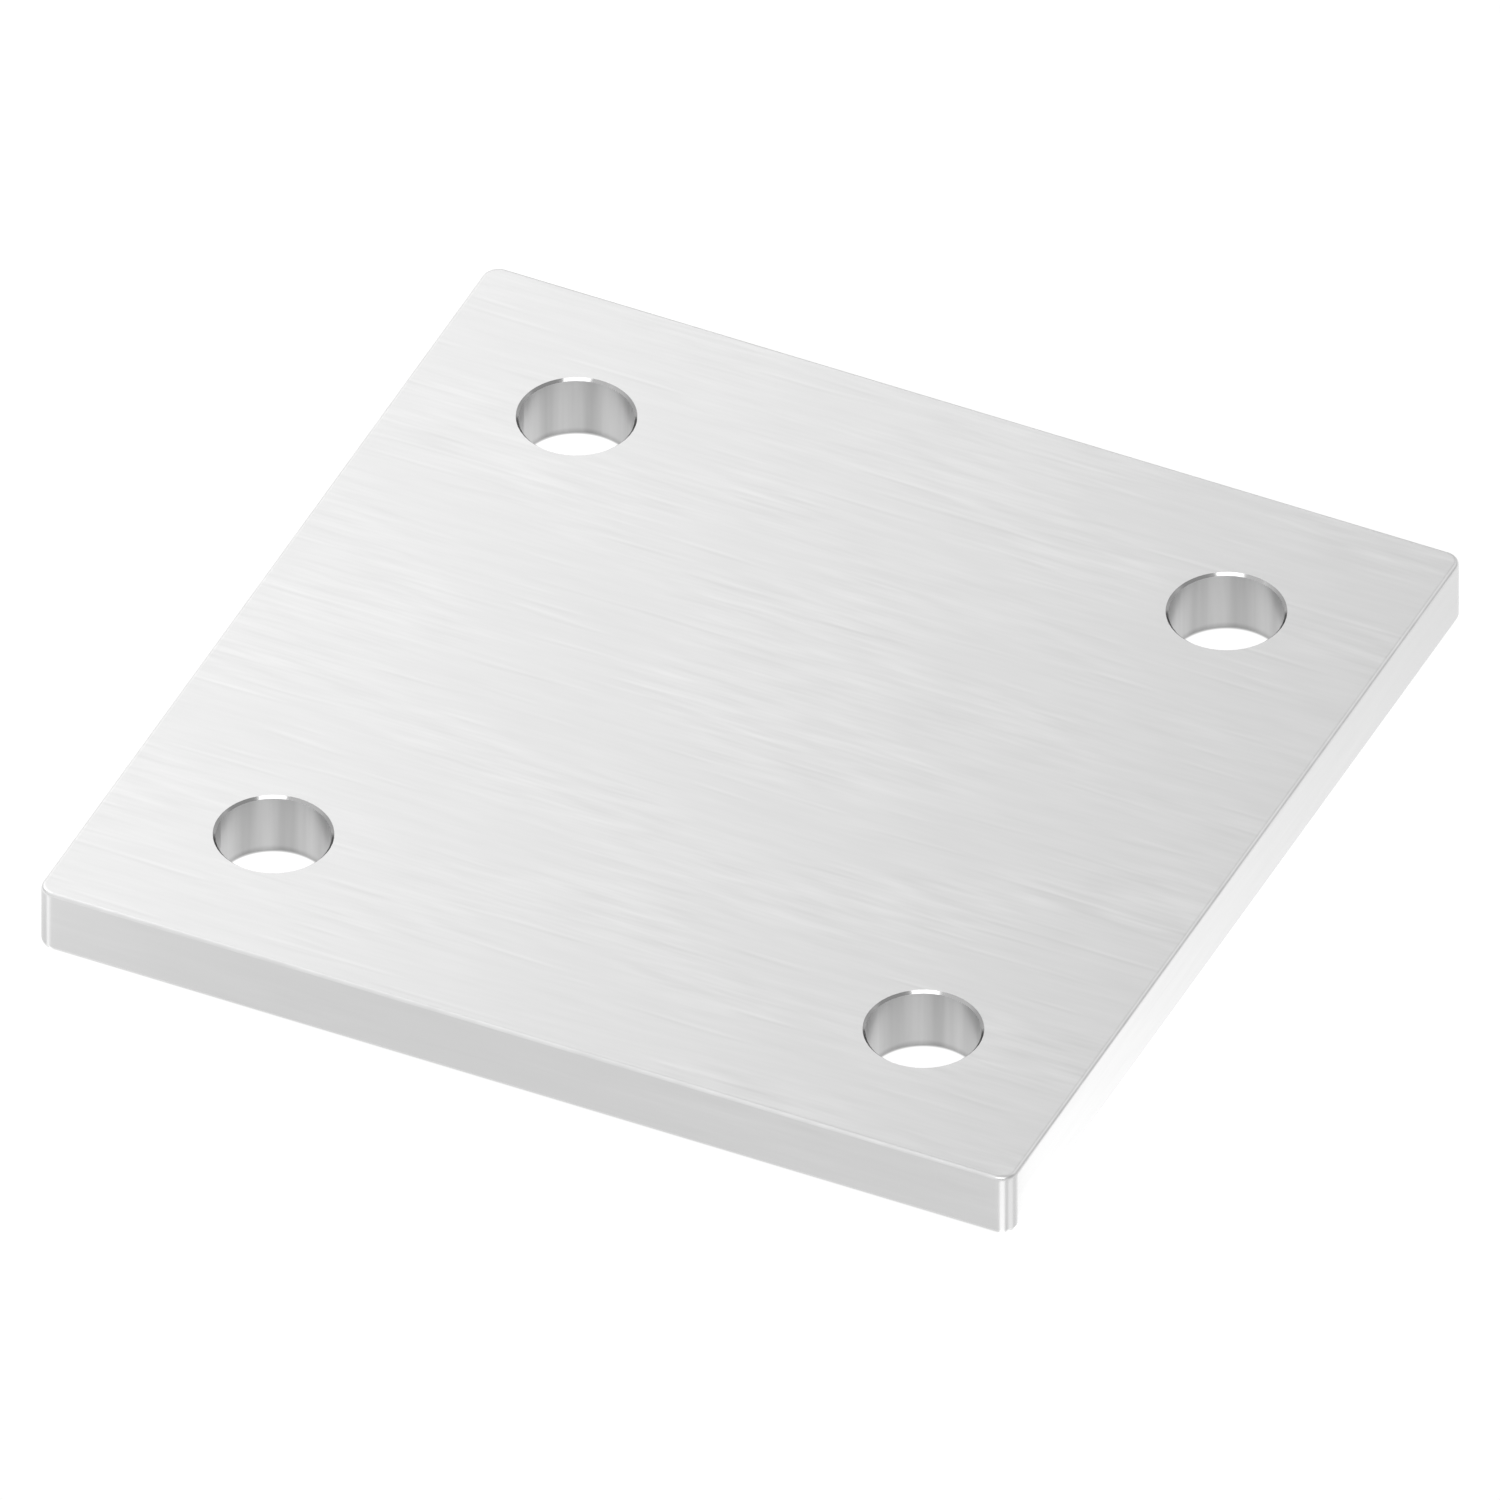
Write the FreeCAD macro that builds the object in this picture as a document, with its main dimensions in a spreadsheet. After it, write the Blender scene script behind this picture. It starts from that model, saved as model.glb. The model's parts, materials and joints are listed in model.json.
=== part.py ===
"""Square anchor plate of brushed stainless steel with four bolt holes, as a parametric document.

The plate is cut from flat bar stock, drilled through near its four corners and deburred all round.
Own frame: X runs along the grain of the brushing, Z up through the thickness, and the origin is the
centre of the underside, which is the face that seats on the base. Millimetres.
"""
import FreeCAD, Part
import math
import os

import Sketcher

NODE = "anchor_plate"

# Driving dimensions: alias, value in millimetres, what it is
DIMENSIONS = (
    ("plate_length", 120.0, "side along the grain"),
    ("plate_width", 120.0, "side across the grain"),
    ("plate_thickness", 8.0, "stock thickness"),
    ("corner_radius", 2.0, "rounding of the four upright corners"),
    ("edge_radius", 0.5, "rounding of the outer edges, top and bottom"),
    ("hole_diameter", 13.0, "bolt hole, for an M12 anchor with 1 mm to spare"),
    ("hole_pitch_length", 80.0, "hole to hole along the grain"),
    ("hole_pitch_width", 80.0, "hole to hole across the grain"),
    ("hole_rim_break", 0.3, "deburring of the hole rims, top and bottom"),
)
SAME = 1e-4


def make_sheet(doc):
    """The sheet of driving dimensions, one row each: name, value and a note."""
    sheet = doc.addObject("Spreadsheet::Sheet", "Dimensions")
    for row, (alias, value, note) in enumerate(DIMENSIONS, start=1):
        sheet.set(f"A{row}", alias)
        sheet.set(f"B{row}", str(value))
        sheet.setAlias(f"B{row}", alias)
        sheet.set(f"C{row}", note)
    doc.recompute()


def origin_plane(body, role):
    """One of the body's own origin planes, by its role."""
    for feature in body.Origin.OriginFeatures:
        if feature.Role == role:
            return feature
    raise ValueError(f"{body.Label} has no {role}")


def attached_sketch(body, name, plane):
    """An empty sketch of the body, lying flat on one of its planes."""
    sketch = body.newObject("Sketcher::SketchObject", name)
    sketch.AttachmentSupport = [(plane, "")]
    sketch.MapMode = "FlatFace"
    return sketch


def bind(sketch, index, expression):
    """Ties a sketch dimension to the sheet."""
    sketch.setExpression(f"Constraints[{index}]", expression)


def outline_sketch(body):
    """The plate's outline: a rectangle centred on the origin."""
    sketch = attached_sketch(body, "outline", origin_plane(body, "XY_Plane"))
    half = 50.0
    corners = [(-half, -half), (half, -half), (half, half), (-half, half)]
    points = [FreeCAD.Vector(x, y, 0) for x, y in corners]
    for start, end in zip(points, points[1:] + points[:1]):
        sketch.addGeometry(Part.LineSegment(start, end), False)
    front, right, back, left = range(4)
    for side, following in ((front, right), (right, back), (back, left), (left, front)):
        sketch.addConstraint(Sketcher.Constraint("Coincident", side, 2, following, 1))
    for side in (front, back):
        sketch.addConstraint(Sketcher.Constraint("Horizontal", side))
    for side in (right, left):
        sketch.addConstraint(Sketcher.Constraint("Vertical", side))
    # Opposite corners lie evenly about the sketch's origin point, which is -1, 1
    sketch.addConstraint(Sketcher.Constraint("Symmetric", front, 1, back, 1, -1, 1))
    length = sketch.addConstraint(Sketcher.Constraint("DistanceX", front, 1, front, 2, 2 * half))
    bind(sketch, length, "Dimensions.plate_length")
    width = sketch.addConstraint(Sketcher.Constraint("DistanceY", right, 1, right, 2, 2 * half))
    bind(sketch, width, "Dimensions.plate_width")
    return sketch


def hole_sketch(body):
    """One bolt hole, in the quarter of the plate where X and Y are positive."""
    sketch = attached_sketch(body, "hole_outline", origin_plane(body, "XY_Plane"))
    centre = FreeCAD.Vector(30, 30, 0)
    sketch.addGeometry(Part.Circle(centre, FreeCAD.Vector(0, 0, 1), 5.0), False)
    along = sketch.addConstraint(Sketcher.Constraint("DistanceX", -1, 1, 0, 3, centre.x))
    bind(sketch, along, "Dimensions.hole_pitch_length / 2")
    across = sketch.addConstraint(Sketcher.Constraint("DistanceY", -1, 1, 0, 3, centre.y))
    bind(sketch, across, "Dimensions.hole_pitch_width / 2")
    bore = sketch.addConstraint(Sketcher.Constraint("Diameter", 0, 10.0))
    bind(sketch, bore, "Dimensions.hole_diameter")
    return sketch


def edge_names(shape, wanted):
    """The names of the shape's edges for which wanted is true."""
    return [f"Edge{number}" for number, edge in enumerate(shape.Edges, start=1) if wanted(edge)]


def is_upright(edge):
    """A straight edge along Z, as at the plate's corners."""
    return isinstance(edge.Curve, Part.Line) and abs(abs(edge.Curve.Direction.z) - 1) < SAME


def is_full_circle(edge):
    """A closed circle, as at a hole's rim."""
    return isinstance(edge.Curve, Part.Circle) and edge.isClosed()


def is_level(edge):
    """An edge that lies in one level plane, as round the top and the underside."""
    return edge.BoundBox.ZLength < SAME


def make_plate(doc):
    """Pads the blank, rounds its corners, drills and mirrors the hole, then breaks every edge."""
    body = doc.addObject("PartDesign::Body", NODE)
    body.Label = NODE
    body.Placement = FreeCAD.Placement()

    outline = outline_sketch(body)
    blank = body.newObject("PartDesign::Pad", "blank")
    blank.Profile = outline
    blank.setExpression("Length", "Dimensions.plate_thickness")
    doc.recompute()

    corners = body.newObject("PartDesign::Fillet", "rounded_corners")
    corners.Base = (blank, edge_names(blank.Shape, is_upright))
    corners.setExpression("Radius", "Dimensions.corner_radius")
    doc.recompute()

    # The sketch lies on the underside, so the drill goes up through the plate
    hole = body.newObject("PartDesign::Pocket", "bolt_hole")
    hole.Profile = hole_sketch(body)
    hole.Type = "ThroughAll"
    hole.Reversed = True
    doc.recompute()

    mirror_left = body.newObject("PartDesign::Mirrored", "mirror_left")
    mirror_left.MirrorPlane = (origin_plane(body, "YZ_Plane"), [""])
    mirror_front = body.newObject("PartDesign::Mirrored", "mirror_front")
    mirror_front.MirrorPlane = (origin_plane(body, "XZ_Plane"), [""])
    holes = body.newObject("PartDesign::MultiTransform", "four_bolt_holes")
    holes.Originals = [hole]
    holes.Transformations = [mirror_left, mirror_front]
    body.Tip = holes
    doc.recompute()

    deburred = body.newObject("PartDesign::Chamfer", "deburred_rims")
    deburred.Base = (holes, edge_names(holes.Shape, is_full_circle))
    deburred.setExpression("Size", "Dimensions.hole_rim_break")
    doc.recompute()

    def is_outer(edge):
        return is_level(edge) and not is_full_circle(edge)

    broken = body.newObject("PartDesign::Fillet", "broken_edges")
    broken.Base = (deburred, edge_names(deburred.Shape, is_outer))
    broken.setExpression("Radius", "Dimensions.edge_radius")
    body.Tip = broken
    doc.recompute()
    return body


def check(doc, body):
    """Stops if any feature failed, or if the plate isn't one sound solid with its holes cut."""
    for item in doc.Objects:
        if "Invalid" in item.State or "Error" in item.State:
            raise RuntimeError(f"{item.Name} failed: {item.State}")
    shape = body.Shape
    if shape.isNull() or not shape.isValid() or len(shape.Solids) != 1:
        raise RuntimeError(f"{body.Label} isn't one sound solid")
    drilled = doc.getObject("four_bolt_holes").Shape.Volume
    blank = doc.getObject("rounded_corners").Shape.Volume
    radius = float(doc.Dimensions.hole_diameter) / 2
    bored = 4 * math.pi * radius ** 2 * float(doc.Dimensions.plate_thickness)
    if abs(blank - drilled - bored) > 1e-6 * blank:
        raise RuntimeError("the four holes don't go through the plate")


doc = FreeCAD.newDocument("AnchorPlate")
make_sheet(doc)
plate = make_plate(doc)
check(doc, plate)
os.makedirs("parts", exist_ok=True)
plate.Shape.exportStep(f"parts/{plate.Label}.step")
box = plate.Shape.optimalBoundingBox(False, False)
print(f"{plate.Label}: {box.XLength:.2f} x {box.YLength:.2f} x {box.ZLength:.2f} mm,", end=" ")
print(f"{plate.Shape.Volume / 1000:.2f} cm3, {len(plate.Shape.Faces)} faces")
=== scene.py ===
"""The anchor plate as it lies in the studio: one flat square plate of brushed stainless steel.

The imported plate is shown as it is. This script gives it its finish, sets the camera, lays the plate on a
lit white table and lights it. Metres, in the plate's own frame: X along the grain, Z up.
"""
import json
import math

import bpy
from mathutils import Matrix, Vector


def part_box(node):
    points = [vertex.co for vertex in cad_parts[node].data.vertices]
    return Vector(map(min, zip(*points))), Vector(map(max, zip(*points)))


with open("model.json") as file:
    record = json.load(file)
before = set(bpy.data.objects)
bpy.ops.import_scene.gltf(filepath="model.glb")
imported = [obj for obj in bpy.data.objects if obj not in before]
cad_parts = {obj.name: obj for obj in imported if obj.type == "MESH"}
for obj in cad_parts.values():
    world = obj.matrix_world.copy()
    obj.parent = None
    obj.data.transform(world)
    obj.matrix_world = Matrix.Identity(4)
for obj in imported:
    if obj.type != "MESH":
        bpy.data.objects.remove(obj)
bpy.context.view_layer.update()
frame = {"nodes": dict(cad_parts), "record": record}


# The plate: one piece of flat stainless bar, cut square and ground along X on a belt, top and underside.
# Its sides are linished along their length, its edges and corners rubbed round, and its holes bored
# through and deburred, which leaves dull walls with upright marks and narrow, smoother rims. Bands of
# painted reflection, and painted shade at the back and foot, are laid on the walls' grey.
plate = frame["nodes"]["anchor_plate"]
low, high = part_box("anchor_plate")
mounts = {mount["name"]: mount for mount in frame["record"]["mounts"]}

# Sizes in millimetres. The seam is where a rim's look gives way to the face's.
MM = 1000.0
THICKNESS = (high.z - low.z) * MM
BOLT_X = mounts["bolt_holes"]["dims"]["spacing_x_mm"] / 2
BOLT_Y = mounts["bolt_holes"]["dims"]["spacing_y_mm"] / 2
BORE_RADIUS = mounts["bolt_holes"]["dims"]["hole_r_mm"]
RIM = (THICKNESS - mounts["bolt_hole_front_left"]["dims"]["length_mm"]) / 2
RIM_SEAM = 0.03

# Greys of the flat faces, the long edges, the upright corners, the bores and their rims
STEEL = 0.61
EDGE_STEEL = 0.69
CORNER_STEEL = 0.56
BORED_STEEL = 0.58
RIM_STEEL = 0.43

# How rough they are. Below about 0.28 the renderer leaves dotted noise along the grain.
FACE_ROUGHNESS = 0.31
EDGE_ROUGHNESS = 0.28
BORED_ROUGHNESS = 0.34
RIM_ROUGHNESS = 0.14

# From nothing to full, by a part of the surface's normal: its Z where the surface leans off upright and
# where it is a rim, its X on the sides across X, and its largest part on the flat faces
LEANING = (0.1, 0.3)
RIM_LEANING = (0.2, 0.5)
FACING_X = (0.70, 0.72)
FLAT = (0.90, 0.995)

# The marks: how long they are on each axis in millimetres, and where in the noise they are read
FINE_LINES = {"lengths": (5.0, 0.45, 0.45), "shift": 3.1}
STREAKS = {"lengths": (10.0, 1.3, 1.3), "shift": 7.7}
SCRATCHES = {"lengths": (16.0, 0.9, 0.9), "shift": 4.3}
CLOUDS = {"lengths": (30.0, 14.0, 14.0), "shift": 11.3}
WEAR = {"lengths": (3.0, 3.0, 3.0), "shift": 9.1, "detail": 1.0}
DRILL_LINES = {"lengths": (1.3, 1.3, 30.0), "shift": 5.9, "detail": 2.0}
NOISE_ROUGHNESS = 0.6

# Belt grain: the noise levels between which a patch and a scratch set in, how strong the lines and streaks
# are outside and inside a patch, how strong scratches are, how much of it all is left on the upright
# sides, and how far apart a scratch's two flanks are in millimetres
PATCH_LEVELS = (-0.12, 0.14)
SCRATCH_LEVELS = (0.16, 0.32)
FINE_STRENGTH = (0.5, 1.3)
STREAK_STRENGTH = (0.7, 1.8)
SCRATCH_STRENGTH = 0.5
SIDE_STRENGTH = 0.4
FLANKS_APART = 0.45

# Painted light in the bores: how many bands of painted reflection go round one, where one band and the
# painted shade on the back of the wall are in degrees, and how high the painted foot shade is in
# millimetres
PAINTED_BANDS = 8
PAINTED_BAND_BEARING = 168
PAINTED_SHADE_BEARING = 115
PAINTED_FOOT_HEIGHT = 0.8

# How much each mark, and each painted reflection and shade, changes the grey, the roughness and the relief
BELT_TONE = 0.08
CLOUD_TONE = 0.03
WEAR_TONE = 0.2
PAINTED_BAND_TONE = 0.08
DRILL_TONE = 0.25
PAINTED_SHADE_TONE = 0.16
PAINTED_FOOT_TONE = 0.2
BELT_ROUGHNESS = 0.025
RELIEF_STRENGTH = 0.2
RELIEF_DEPTH = 0.00001


class Wire:
    """A value, vector or colour on its way through a material. Sums written on it add their nodes."""

    def __init__(self, tree, socket=None):
        self.tree = tree
        self.socket = socket

    def node(self, kind, settings=None, sockets=None, out=0):
        """A new node of that kind: first its settings, then the values or wires of its sockets."""
        node = self.tree.nodes.new("ShaderNode" + kind)
        for name, setting in (settings or {}).items():
            setattr(node, name, setting)
        for key, value in (sockets or {}).items():
            if isinstance(value, Wire):
                self.tree.links.new(value.socket, node.inputs[key])
            else:
                node.inputs[key].default_value = value
        return Wire(self.tree, node.outputs[out] if node.outputs else None)

    def maths(self, operation, *values):
        """A sum of this value and others: operation is the Math node's name for it."""
        return self.node("Math", {"operation": operation}, dict(enumerate((self, *values))))

    def __add__(self, other):
        return self.maths("ADD", other)

    def __sub__(self, other):
        return self.maths("SUBTRACT", other)

    def __rsub__(self, other):
        return self.node("Math", {"operation": "SUBTRACT"}, {0: other, 1: self})

    def __mul__(self, other):
        return self.maths("MULTIPLY", other)

    def __pow__(self, other):
        return self.maths("POWER", other)

    def __abs__(self):
        return self.maths("ABSOLUTE")

    __radd__ = __add__
    __rmul__ = __mul__

    def placed(self, factors, shifts):
        """A vector with its parts multiplied by factors, and then moved by shifts."""
        return self.node("VectorMath", {"operation": "MULTIPLY_ADD"}, {0: self, 1: factors, 2: shifts})

    def parts(self):
        """The X, Y and Z of a vector."""
        split = self.node("SeparateXYZ", sockets={0: self}).socket.node
        return [Wire(self.tree, split.outputs[axis]) for axis in range(3)]

    def rise(self, start, end):
        """0 at start and before it, 1 at end and past it, smooth between. The end may be the lower."""
        steps = {"Value": self, "From Min": start, "From Max": end}
        return self.node("MapRange", {"interpolation_type": "SMOOTHSTEP"}, steps)

    def chosen(self, first, second):
        """first where this mask is 0 and second where it is 1."""
        return self * second + (1 - self) * first

    def grain(self, lengths, shift, detail=0.0, aside=0.0):
        """Noise about 0 by place, drawn out to marks of those lengths on each axis. All in millimetres."""
        shifts = (shift, shift + aside / lengths[1], shift)
        stretched = self.placed([1 / length for length in lengths], shifts)
        noise = {"Vector": stretched, "Scale": 1.0, "Detail": detail, "Roughness": NOISE_ROUGHNESS}
        return self.node("TexNoise", {"noise_dimensions": "3D"}, noise) - 0.5


def brushed_steel():
    """The plate's finish, read from its place and the way its surface faces."""
    steel = bpy.data.materials.new("brushed_stainless_steel")
    steel.use_nodes = True
    tree = steel.node_tree
    tree.nodes.clear()
    start = Wire(tree)
    place = start.node("TexCoord", out="Object").placed((MM, MM, MM), (0, 0, 0))
    x, y, z = place.parts()
    facing = [abs(part) for part in start.node("NewGeometry", out="Normal").parts()]

    # Where the surface is: in a hole or on its rim, on a side across X, or on a rounded edge
    off_axis = ((abs(x) - BOLT_X) ** 2 + (abs(y) - BOLT_Y) ** 2) ** 0.5
    in_hole = 1 - off_axis.rise(BORE_RADIUS + RIM - RIM_SEAM, BORE_RADIUS + RIM)
    on_rim = in_hole * facing[2].rise(*RIM_LEANING)
    on_end = facing[0].rise(*FACING_X)
    leaning = facing[2].rise(*LEANING)
    flat = facing[0].maths("MAXIMUM", facing[1]).maths("MAXIMUM", facing[2])
    rounded = 1 - flat.rise(*FLAT)

    # Belt grain: streaks that come and go in patches, with shorter lines and a few scratches among them,
    # each light on one flank and dark on the other. It runs along X, and along Y on the sides across X.
    lie = start.node("CombineXYZ", sockets={0: on_end.chosen(x, y), 1: on_end.chosen(y, x), 2: z})
    clouds = lie.grain(**CLOUDS)
    patches = clouds.rise(*PATCH_LEVELS)
    fine = lie.grain(**FINE_LINES) * patches.chosen(*FINE_STRENGTH)
    streaks = lie.grain(**STREAKS) * patches.chosen(*STREAK_STRENGTH)
    lay = fine + streaks
    light_flank = lie.grain(**SCRATCHES).rise(*SCRATCH_LEVELS)
    dark_flank = lie.grain(**SCRATCHES, aside=FLANKS_APART).rise(*SCRATCH_LEVELS)
    scratches = (light_flank - dark_flank) * SCRATCH_STRENGTH
    belt = (lay + scratches) * leaning.chosen(SIDE_STRENGTH, 1.0)
    worn = place.grain(**WEAR) * WEAR_TONE

    # Drill marks, which are narrow upright lines, and a few broad bands of painted reflection round each
    # bore, alike in all four. Painted shade darkens the wall's foot and its back.
    aside = x - x.maths("SIGN") * BOLT_X
    along = y - y.maths("SIGN") * BOLT_Y
    bearing = along.maths("ARCTAN2", aside)
    # Painted reflection: broad upright bands of light and dark round each bore wall, at the same bearings
    # in all four
    painted_bands = ((bearing - math.radians(PAINTED_BAND_BEARING)) * PAINTED_BANDS).maths("COSINE")
    # Painted shade: the back of each bore wall is painted darker
    painted_back_shade = (bearing - math.radians(PAINTED_SHADE_BEARING)).maths("COSINE")
    # Painted shade: the foot of each bore wall, down by the table, is painted darker
    painted_foot_shade = 1 - z.rise(RIM, RIM + PAINTED_FOOT_HEIGHT)
    marks_and_painted_bands = painted_bands * PAINTED_BAND_TONE + place.grain(**DRILL_LINES) * DRILL_TONE
    bored = (marks_and_painted_bands - painted_back_shade * PAINTED_SHADE_TONE - painted_foot_shade * PAINTED_FOOT_TONE + 1) * BORED_STEEL

    edge = leaning.chosen(CORNER_STEEL, (worn + 1) * EDGE_STEEL)
    ground = rounded.chosen((belt * BELT_TONE + clouds * CLOUD_TONE + 1) * STEEL, edge)
    tone = on_rim.chosen(in_hole.chosen(ground, bored), RIM_STEEL)
    colour = start.node("CombineColor", sockets={0: tone, 1: tone, 2: tone})
    outside = rounded.chosen(belt * BELT_ROUGHNESS + FACE_ROUGHNESS, EDGE_ROUGHNESS)
    roughness = in_hole.chosen(outside, on_rim.chosen(BORED_ROUGHNESS, RIM_ROUGHNESS))
    bump = {"Height": lay, "Strength": RELIEF_STRENGTH, "Distance": RELIEF_DEPTH}
    relief = start.node("Bump", sockets=bump)
    look = {"Base Color": colour, "Roughness": roughness, "Normal": relief, "Metallic": 1.0}
    surface = start.node("BsdfPrincipled", sockets=look)
    start.node("OutputMaterial", sockets={"Surface": surface})
    return steel


plate.material_slots[0].material = brushed_steel()


# The camera: a long way off and square to its picture, 25 degrees round from the front towards the
# right and 40 degrees up, so that the plate's sides stay parallel. It looks at the plate's middle.
AZIMUTH = math.radians(25)
ELEVATION = math.radians(40)
PICTURE_SIDE = 0.16735
CAMERA_AWAY = 1.0

ahead = Vector((math.sin(AZIMUTH), -math.cos(AZIMUTH), 0))
back = ahead * math.cos(ELEVATION) + Vector((0, 0, math.sin(ELEVATION)))
lens = bpy.data.cameras.new("camera")
lens.type = "ORTHO"
lens.ortho_scale = PICTURE_SIDE
camera = bpy.data.objects.new("camera", lens)
camera.location = (low + high) / 2 + back * CAMERA_AWAY
camera.rotation_euler = back.to_track_quat("Z", "Y").to_euler()
bpy.context.scene.collection.objects.link(camera)
bpy.context.scene.camera = camera
bpy.context.scene.view_settings.view_transform = "Standard"


# The table: a sheet of white acrylic, lit from below and bright right up to the plate, which shades it.
# It glows more beside the plate on the right, towards the left, and in a few rays at the plate's near
# corners, and so lights the plate's sides.
TABLE_SIDE = 30.0
TABLE_DROP = 0.00002
TABLE_GLOW = 1.02

# The shade: how deep it is, the plate's corner radius and how wide the shade's edge is along the outline,
# in metres, and where it sets in about a hole's wall, in millimetres
SHADE = 0.6
CORNER = 0.002
SHADE_EDGE = 0.0005
HOLE_EDGE = (-0.1, 0.25)

# On the right: which way the near corner faces where the glow begins, in degrees, and in metres how wide
# its edge at the plate is and where it fades out past the plate. It is least at the back and grows in
# step with the nearness to the front and with its cube.
RIGHT_FACING = -5
RIGHT_EDGE = 0.0005
RIGHT_FADE = (0.014, 0.025)
BACK_GLOW = 0.14
NEAR_GLOW = 0.36
FRONT_GLOW = 0.15

# To the left: where each of two steps sets in along X, in metres, and how much it adds
LEFT_STEPS = (((-0.025, -0.065), 0.08), ((-0.061, -0.075), 0.15))

# The rays: where they end and how soft they are, in metres, the bearing of the camera that sees them, and
# for each the two ways that its corner faces, in degrees, with how much it adds
RAY_END = (0.014, 0.021)
RAY_EDGE = 0.0002
VIEW_BEARING = AZIMUTH - math.radians(90)
WHITE_RAY = (-71, -54, 0.75)
PALE_RAY = (-43, -25, 0.40)
LEFT_RAY = (-108, -98, 0.50)


def table_sheet():
    """A flat square of one face, just under the plate."""
    half = TABLE_SIDE / 2
    height = low.z - TABLE_DROP
    points = [(-half, -half, height), (half, -half, height), (half, half, height), (-half, half, height)]
    mesh = bpy.data.meshes.new("light_table")
    mesh.from_pydata(points, [], [(0, 1, 2, 3)])
    sheet = bpy.data.objects.new("light_table", mesh)
    bpy.context.scene.collection.objects.link(sheet)
    return sheet


def past_ray(x, y, centre, facing):
    """1 on the left of the ray that the upright corner throws back along the table where it faces so."""
    out = math.radians(facing)
    ray = 2 * out - VIEW_BEARING
    dx = x - (centre[0] + CORNER * math.cos(out))
    dy = y - (centre[1] + CORNER * math.sin(out))
    return (dy * math.cos(ray) - dx * math.sin(ray)).rise(-RAY_EDGE, RAY_EDGE)


def corner_ray(x, y, centre, first, last, glow):
    """The glow between two such rays, close to the corner."""
    away = ((x - centre[0]) ** 2 + (y - centre[1]) ** 2) ** 0.5
    strip = past_ray(x, y, centre, first) - past_ray(x, y, centre, last)
    return strip.maths("MAXIMUM", 0.0) * (1 - away.rise(*RAY_END)) * glow


def lit_acrylic():
    """White that shines by itself, by place."""
    acrylic = bpy.data.materials.new("lit_acrylic")
    acrylic.use_nodes = True
    tree = acrylic.node_tree
    tree.nodes.clear()
    start = Wire(tree)
    x, y = start.node("TexCoord", out="Object").parts()[:2]

    # The shade under the plate, which is open at its holes and follows its rounded outline
    past_x = (abs(x) - (high.x - CORNER)).maths("MAXIMUM", 0.0)
    past_y = (abs(y) - (high.y - CORNER)).maths("MAXIMUM", 0.0)
    inside = 1 - ((past_x ** 2 + past_y ** 2) ** 0.5).rise(CORNER - SHADE_EDGE, CORNER)
    off_axis = ((abs(x) - BOLT_X / MM) ** 2 + (abs(y) - BOLT_Y / MM) ** 2) ** 0.5
    off_hole = off_axis.rise(*[(BORE_RADIUS + edge) / MM for edge in HOLE_EDGE])
    glow = TABLE_GLOW - inside * off_hole * SHADE

    right_corner = (high.x - CORNER, low.y + CORNER)
    left_corner = (low.x + CORNER, low.y + CORNER)
    near = ((high.y - y) * (1 / (high.y - low.y))).maths("MAXIMUM", 0.0).maths("MINIMUM", 1.0)
    beside = x.rise(high.x - RIGHT_EDGE, high.x) * (1 - x.rise(*[high.x + fade for fade in RIGHT_FADE]))
    right_side = beside * past_ray(x, y, right_corner, RIGHT_FACING)
    glow += right_side * (near ** 3 * FRONT_GLOW + near * NEAR_GLOW + BACK_GLOW)
    for (first, last), more in LEFT_STEPS:
        glow += x.rise(first, last) * more
    glow += corner_ray(x, y, right_corner, *WHITE_RAY)
    glow += corner_ray(x, y, right_corner, *PALE_RAY)
    glow += corner_ray(x, y, left_corner, *LEFT_RAY)

    colour = start.node("CombineColor", sockets={0: glow, 1: glow, 2: glow})
    look = {"Base Color": (0, 0, 0, 1), "Roughness": 0.6, "Specular IOR Level": 0.0}
    look.update({"Emission Color": colour, "Emission Strength": 1.0})
    surface = start.node("BsdfPrincipled", sockets=look)
    start.node("OutputMaterial", sockets={"Surface": surface})
    return acrylic


table = table_sheet()
table.data.materials.append(lit_acrylic())


# The light: a grey room with paler and darker walls, and three soft boxes. The broad box over the back
# left gives the plate its fall of light, the low one lights the front top edge and the bright one the
# far rims of the holes. The last two are turned like the camera.
ROOM = 0.78

# The walls: how much paler each is, and where it sets in and is full along the parts of the direction. In
# turn: the front left, more of it higher up, the back left low down, the back right high up, and the low
# right, which is darker.
WALLS = (
    (0.18, {"x": (0.2, -0.2), "y": (0.0, -0.4)}),
    (0.10, {"x": (0.2, -0.2), "y": (0.0, -0.4), "z": (-0.1, 0.7)}),
    (0.30, {"x": (-0.3, -0.6), "y": (0.2, 0.6), "z": (0.4, 0.15)}),
    (0.31, {"x": (-0.3, 0.1), "y": (0.3, 0.6), "z": (0.3, 0.7)}),
    (-0.12, {"x": (0.4, 0.6), "y": (0.4, 0.6), "z": (0.5, 0.35)}),
)

# The screen: a round dark patch up on the right, from its edge inwards by the cosine of the angle off it
SCREEN = 0.22
SCREEN_TOWARDS = Vector((0.78, 0.0, 0.62)).normalized()
SCREEN_EDGE = (0.86, 0.96)

# The floor: between these two heights of the direction it gives way to the walls
HORIZON = (-0.2, -0.1)

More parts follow.
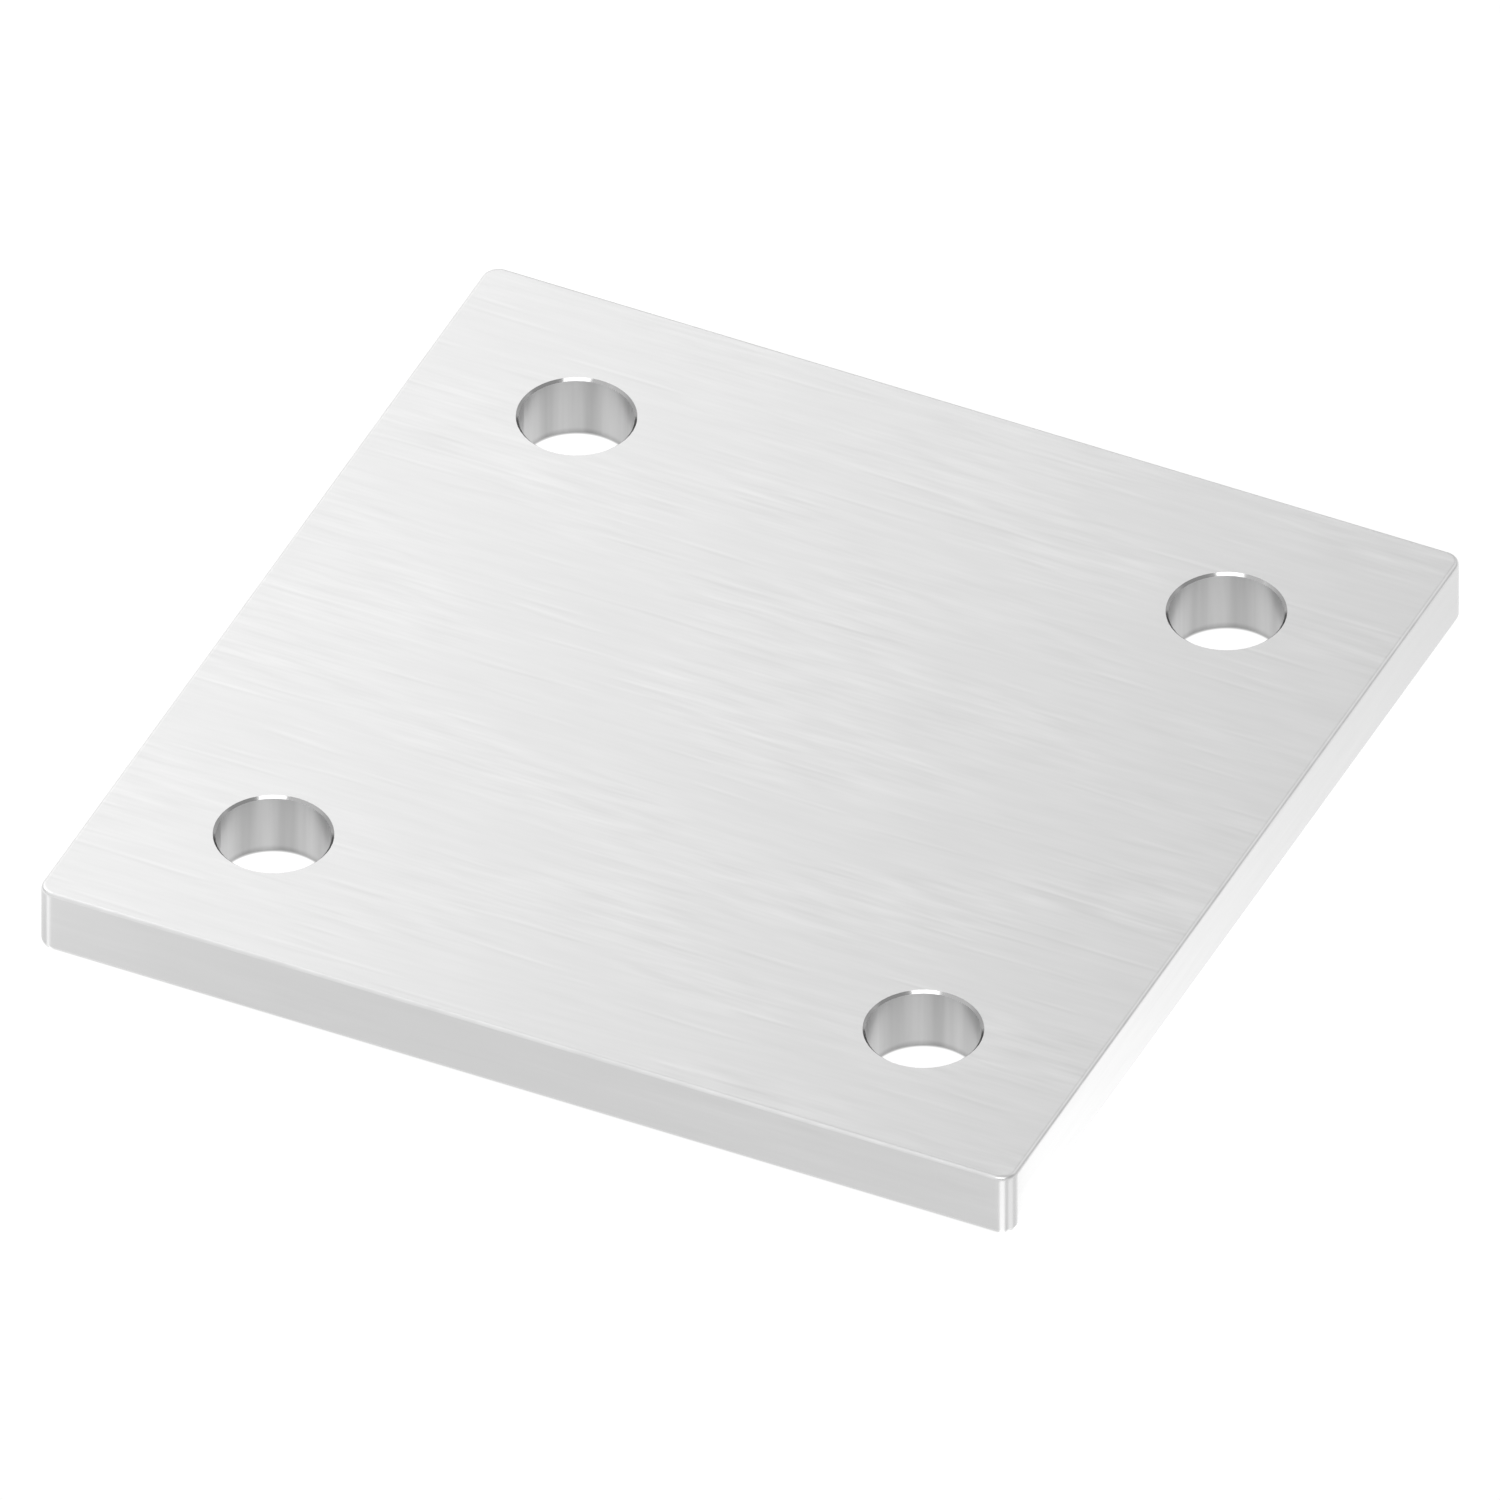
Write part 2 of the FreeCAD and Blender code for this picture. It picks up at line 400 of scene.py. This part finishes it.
# The soft boxes, in metres from the plate's middle
BACK_BOX = {"height": 0.55, "across": (-1.45, -0.25), "along": (-1.10, 0.00), "radiance": 0.88}
LINE_BOX = {"height": 0.35, "across": (-0.42, -0.08), "along": (-0.22, 0.08), "radiance": 0.45}
WINDOW_BOX = {"height": 0.70, "across": (-0.33, 0.27), "along": (0.44, 0.80), "radiance": 2.4}


def soft_box(name, height, across, along, radiance, turn):
    """A lamp facing down over the plate, between two distances across to the right and two towards the
    camera once both are turned. Its power follows from its size and radiance."""
    lamp = bpy.data.lights.new(name, "AREA")
    lamp.shape = "RECTANGLE"
    lamp.size = across[1] - across[0]
    lamp.size_y = along[1] - along[0]
    lamp.energy = radiance * math.pi * lamp.size * lamp.size_y
    rightwards = Vector((math.cos(turn), math.sin(turn), 0)) * (across[0] + across[1]) / 2
    forwards = Vector((math.sin(turn), -math.cos(turn), 0)) * (along[0] + along[1]) / 2
    box = bpy.data.objects.new(name, lamp)
    box.location = rightwards + forwards + Vector((0, 0, height))
    box.rotation_euler = (0, 0, turn)
    bpy.context.scene.collection.objects.link(box)


def grey_room():
    """The light from the room, by direction."""
    world = bpy.data.worlds.new("grey_room")
    world.use_nodes = True
    tree = world.node_tree
    tree.nodes.clear()
    start = Wire(tree)
    towards = dict(zip("xyz", start.node("TexCoord", out="Generated").parts()))
    level = ROOM
    for paler, spread in WALLS:
        wall = paler
        for axis, (first, last) in spread.items():
            wall *= towards[axis].rise(first, last)
        level += wall
    screenwards = towards["x"] * SCREEN_TOWARDS.x + towards["z"] * SCREEN_TOWARDS.z
    level -= screenwards.rise(*SCREEN_EDGE) * SCREEN

    # Below the horizon it is as white as the table, for a low camera that starts under it
    level = towards["z"].rise(*HORIZON).chosen(TABLE_GLOW, level)
    colour = start.node("CombineColor", sockets={0: level, 1: level, 2: level})
    surface = start.node("Background", sockets={"Color": colour, "Strength": 1.0})
    start.node("OutputWorld", sockets={"Surface": surface})
    return world


bpy.context.scene.world = grey_room()
soft_box("back_left_box", turn=0.0, **BACK_BOX)
soft_box("line_box", turn=AZIMUTH, **LINE_BOX)
soft_box("window_box", turn=AZIMUTH, **WINDOW_BOX)
